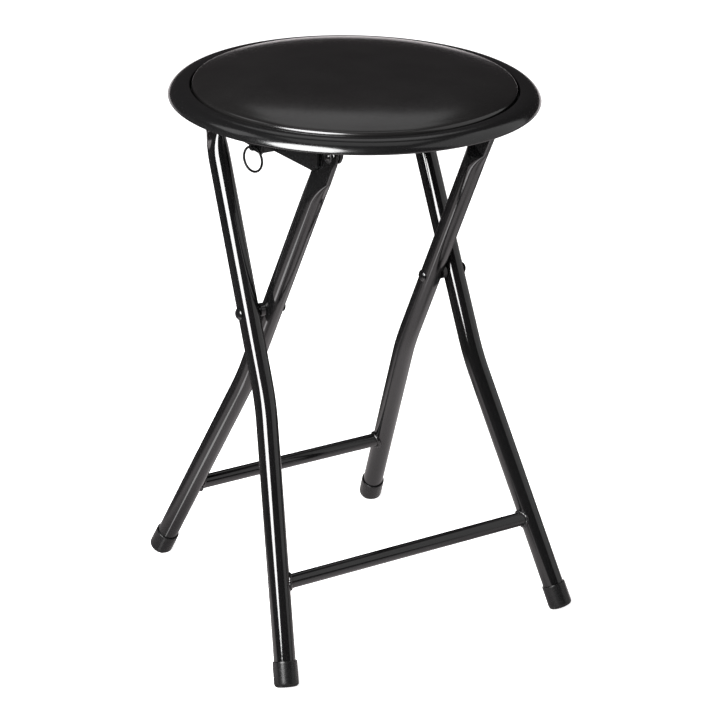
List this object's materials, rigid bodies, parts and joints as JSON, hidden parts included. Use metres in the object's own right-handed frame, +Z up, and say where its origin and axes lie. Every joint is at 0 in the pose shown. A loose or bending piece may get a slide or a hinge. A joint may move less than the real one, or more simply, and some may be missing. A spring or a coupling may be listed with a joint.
{
  "type": "folding stool",
  "caption": "Round padded folding stool on a scissor frame of bent steel tubes, with a flip-up seat, a pull-ring catch and moulded foot caps.",
  "frame": {"origin": "on the floor under the centre of the round seat", "axes": "+Z up; X along the crossbars, with the catch and pull ring at -X; the outer legs' feet at -Y"},
  "size_m": [0.3, 0.3, 0.4626],
  "materials": {
    "frame_paint": "semi-gloss black powder coat on steel tube",
    "foot_cap": "satin black moulded foot cap",
    "rivet_black": "black painted steel rivet",
    "spacer_plastic": "black nylon",
    "washer_steel": "dull zinc plated",
    "rod_steel": "zinc plated",
    "pan_plastic": "gloss black moulded shell",
    "board_wood": "raw plywood",
    "foam": "upholstery foam",
    "vinyl": "satin black grained vinyl",
    "bracket_paint": "black painted pressed steel",
    "screw_steel": "zinc plated",
    "spring_steel": "spring wire",
    "ring_wire": "black coated wire"
  },
  "bodies": {
    "inner_frame": {"inner_leg_left": "frame_paint", "inner_leg_right": "frame_paint", "inner_crossbar": "frame_paint", "inner_foot_cap_left": "foot_cap", "inner_foot_cap_right": "foot_cap", "scissor_rivets": "rivet_black", "scissor_spacers": "spacer_plastic", "seat_pivot_rivets": "rivet_black", "seat_pivot_washers": "washer_steel"},
    "outer_frame": {"outer_leg_left": "frame_paint", "outer_leg_right": "frame_paint", "outer_crossbar": "frame_paint", "outer_foot_cap_left": "foot_cap", "outer_foot_cap_right": "foot_cap", "top_cross_rod": "rod_steel", "rod_end_caps": "rivet_black"},
    "seat": {"seat_pan": "pan_plastic", "seat_board": "board_wood", "seat_foam": "foam", "seat_cover": "vinyl", "bracket_left": "bracket_paint", "bracket_right": "bracket_paint", "bracket_screws": "screw_steel", "catch_rivet": "rivet_black", "catch_spring": "spring_steel"},
    "catch": {"catch_lever": "bracket_paint"},
    "ring": {"pull_ring": "ring_wire"}
  },
  "joints": [
    {"name": "scissor_fold", "type": "hinge", "parent": "inner_frame", "child": "outer_frame", "pos_m": [0, -0.00445, 0.27477], "axis": [1, 0, 0], "range_deg": [0, 46]},
    {"name": "seat_flip", "type": "hinge", "parent": "inner_frame", "child": "seat", "pos_m": [0, -0.08524, 0.42835], "axis": [1, 0, 0], "range_deg": [0, 115]},
    {"name": "catch_pull", "type": "hinge", "parent": "seat", "child": "catch", "pos_m": [-0.0906, 0.03, 0.4255], "axis": [1, 0, 0], "range_deg": [0, 12], "stiffness_Nm_per_rad": 0.12, "springref_deg": -20.05, "deforming": ["catch_spring"]},
    {"name": "ring_swing", "type": "hinge", "parent": "catch", "child": "ring", "pos_m": [-0.095, -0.0022, 0.4137], "axis": [0, 1, 0], "range_deg": [-10, 60]}
  ],
  "couplings": [
    {"joint": "seat_flip", "follows": "scissor_fold", "ratio": 2.5}
  ]
}
